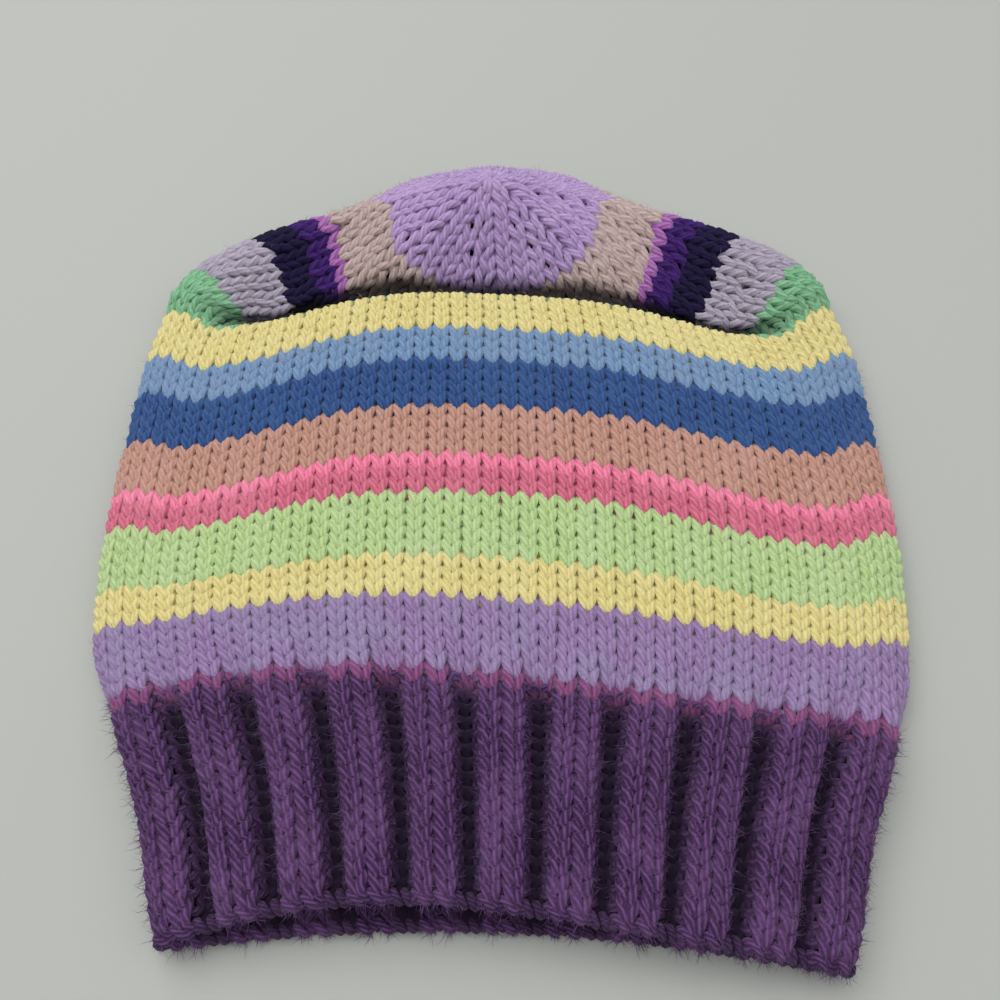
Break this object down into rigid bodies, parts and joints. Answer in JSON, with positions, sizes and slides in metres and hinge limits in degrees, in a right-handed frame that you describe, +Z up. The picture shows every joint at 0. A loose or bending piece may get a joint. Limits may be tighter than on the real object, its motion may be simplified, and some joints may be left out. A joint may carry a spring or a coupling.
{
  "type": "knitted beanie hat",
  "caption": "Striped hand-knitted beanie lying flat: ribbed brim, plain body, crown drawn in to a pole and tucked into a pleat.",
  "frame": {"origin": "middle of the footprint, on the surface that the hat lies on", "axes": "+Z up out of the table, +Y from the open mouth to the crown, +X to the wearer's side fold on the right"},
  "size_m": [0.1958, 0.2117, 0.032],
  "materials": {
    "brim_yarn": "matt, softly fuzzy dark purple yarn in a two by two rib",
    "body_yarn": "matt plain knit in stripes of lavender, yellow, green, pink, tan and two blues",
    "crown_yarn": "matt plain knit in rings of green, lilac grey, deep violet, taupe and lavender"
  },
  "bodies": {
    "root": {"ribbed_brim": "brim_yarn", "striped_body": "body_yarn", "crown": "crown_yarn"}
  },
  "joints": []
}
